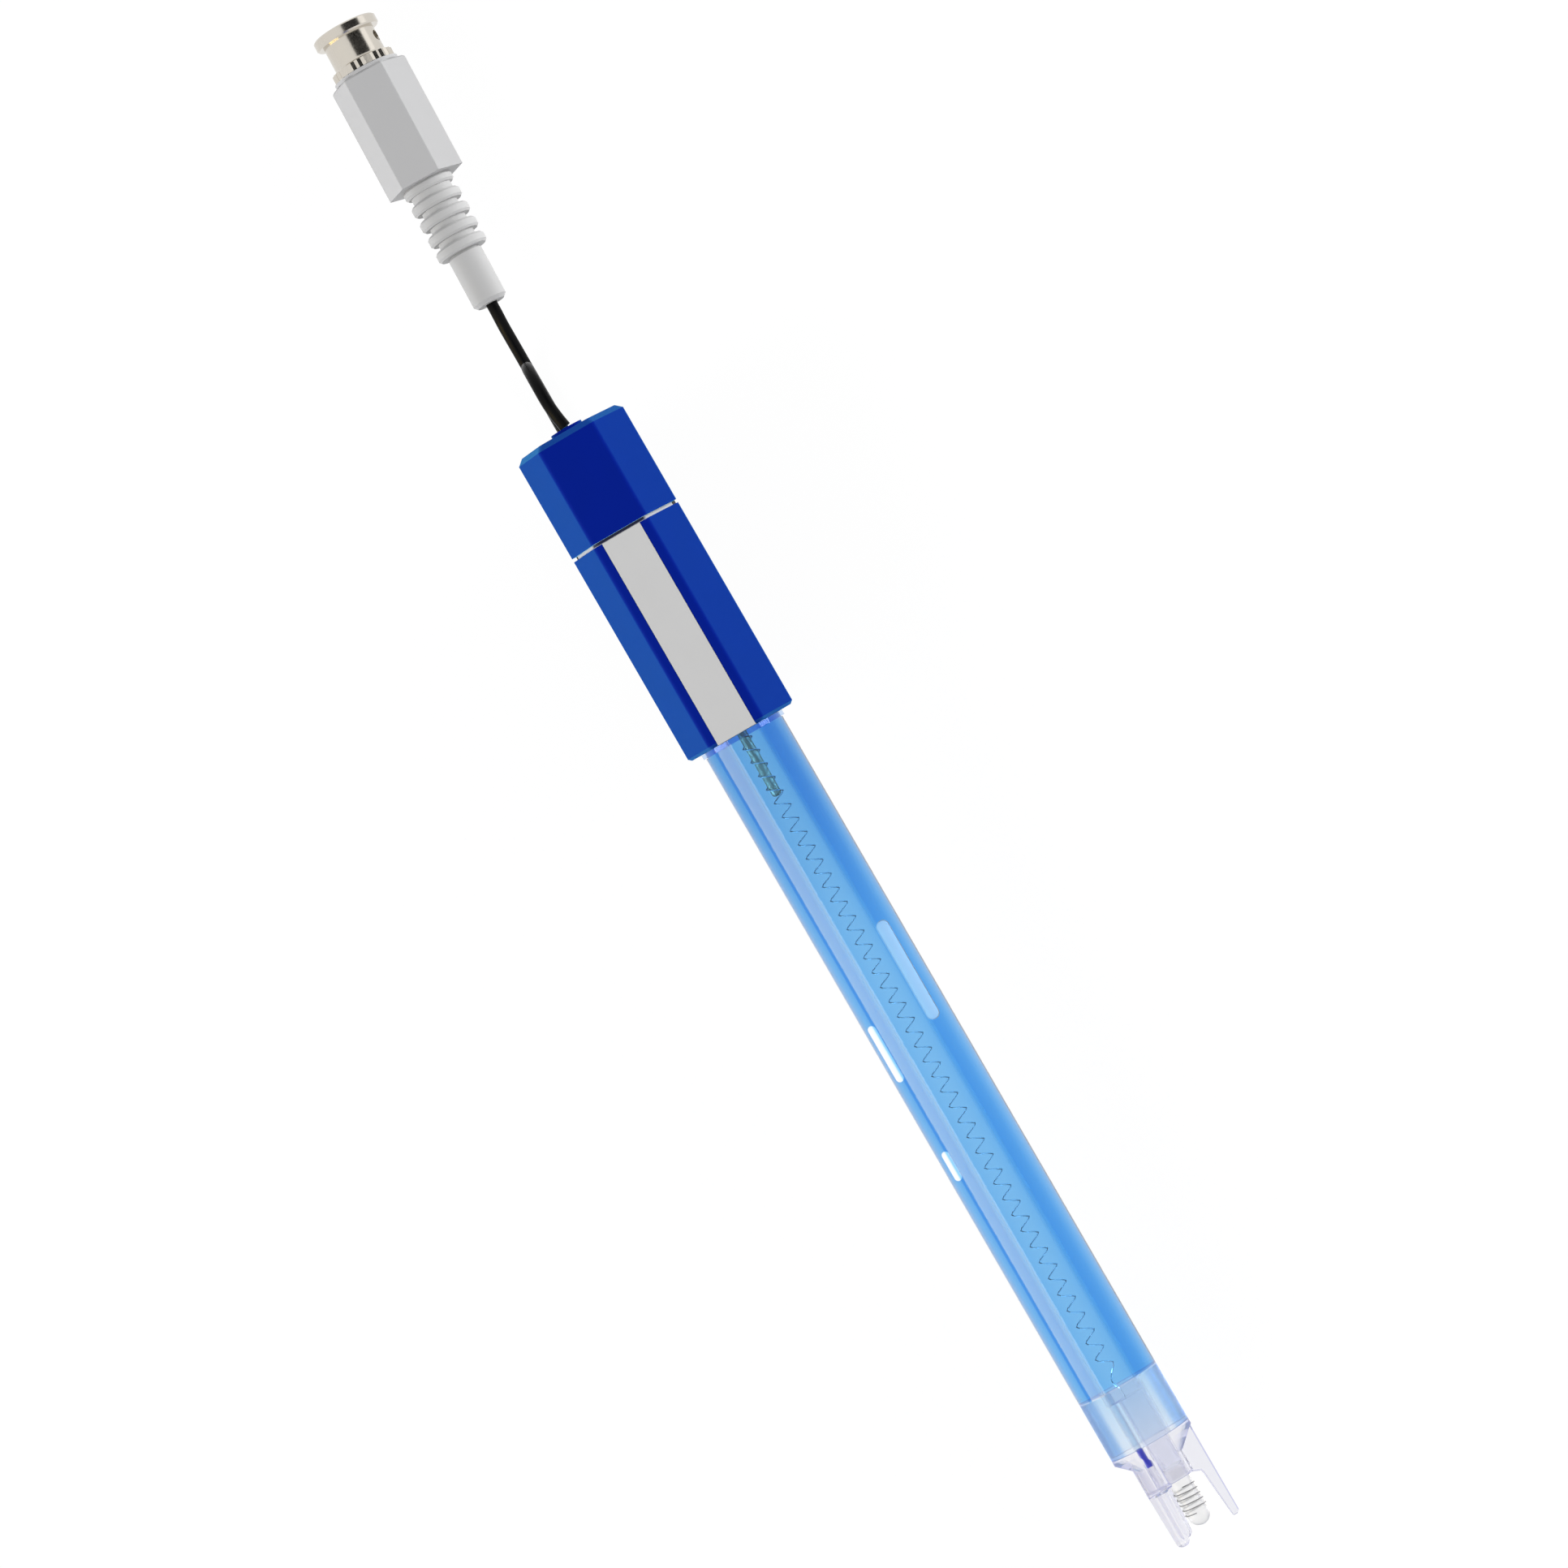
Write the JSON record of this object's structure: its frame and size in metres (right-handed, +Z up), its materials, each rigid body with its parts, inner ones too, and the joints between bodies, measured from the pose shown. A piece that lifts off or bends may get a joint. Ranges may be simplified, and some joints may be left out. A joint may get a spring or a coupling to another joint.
{
  "type": "orp electrode",
  "caption": "Laboratory redox electrode with a hexagonal blue head, gel-filled clear blue shaft, guarded platinum tip, and a bayonet plug on a tied cable.",
  "frame": {"origin": "on the surface it lies on, under the middle of the electrode's length", "axes": "+X from the cap towards the tip, +Y across, +Z up; the electrode's axis dips 4.9 degrees towards the tip"},
  "size_m": [0.2397, 0.0174, 0.0273],
  "materials": {
    "blue_plastic": "smooth moulded",
    "grey_plastic": "satin moulded",
    "dark_rubber": "satin",
    "cable_black": "satin jacket",
    "copper": "bright",
    "red_sleeve": "shrunk",
    "clear_tube": "clear, tinted",
    "collar_blue": "clear bead",
    "blue_gel": "clear gel",
    "clear_stem": "clear",
    "silver": "dull silver",
    "clear_tip": "clear moulded",
    "junction": "porous",
    "sensor_glass": "clear",
    "platinum": "bright",
    "hood_grey": "satin moulded",
    "boot_grey": "satin",
    "bright_nickel": "bright plated",
    "contact_gold": "bright",
    "white_plastic": "smooth",
    "tie_strap": "hook and loop"
  },
  "bodies": {
    "root": {"end_cap": "blue_plastic", "cord_gland": "dark_rubber", "cord_tail": "cable_black", "cord_clamp": "bright_nickel", "core_wire": "copper", "splice_sleeve": "red_sleeve", "handle_shell": "blue_plastic", "inner_sleeve": "grey_plastic", "sleeve_seal": "dark_rubber", "shaft_tube": "clear_tube", "shaft_collar": "collar_blue", "electrolyte_gel": "blue_gel", "inner_stem": "clear_stem", "stem_seal": "dark_rubber", "silver_rod": "silver", "silver_coil": "silver", "tip_body": "clear_tip", "junction_pin": "junction", "sensor_rod": "sensor_glass", "platinum_winding": "platinum", "plug_hood": "hood_grey", "bend_boot": "boot_grey", "plug_cable": "cable_black", "cable_crimp": "copper", "plug_body": "bright_nickel", "contact_sleeve": "bright_nickel", "insulator": "white_plastic", "centre_contact": "contact_gold", "wave_washer": "bright_nickel", "lead_cap_side": "cable_black", "cord_hank": "cable_black", "cord_tie": "tie_strap", "lead_plug_side": "cable_black"},
    "coupling": {"coupling_sleeve": "bright_nickel"}
  },
  "joints": [
    {"name": "coupling_turn", "type": "hinge", "parent": "root", "child": "coupling", "pos_m": [-0.14907, -0.00104, 0.005], "axis": [-0.9998, 0.0209, 0], "continuous": true}
  ]
}
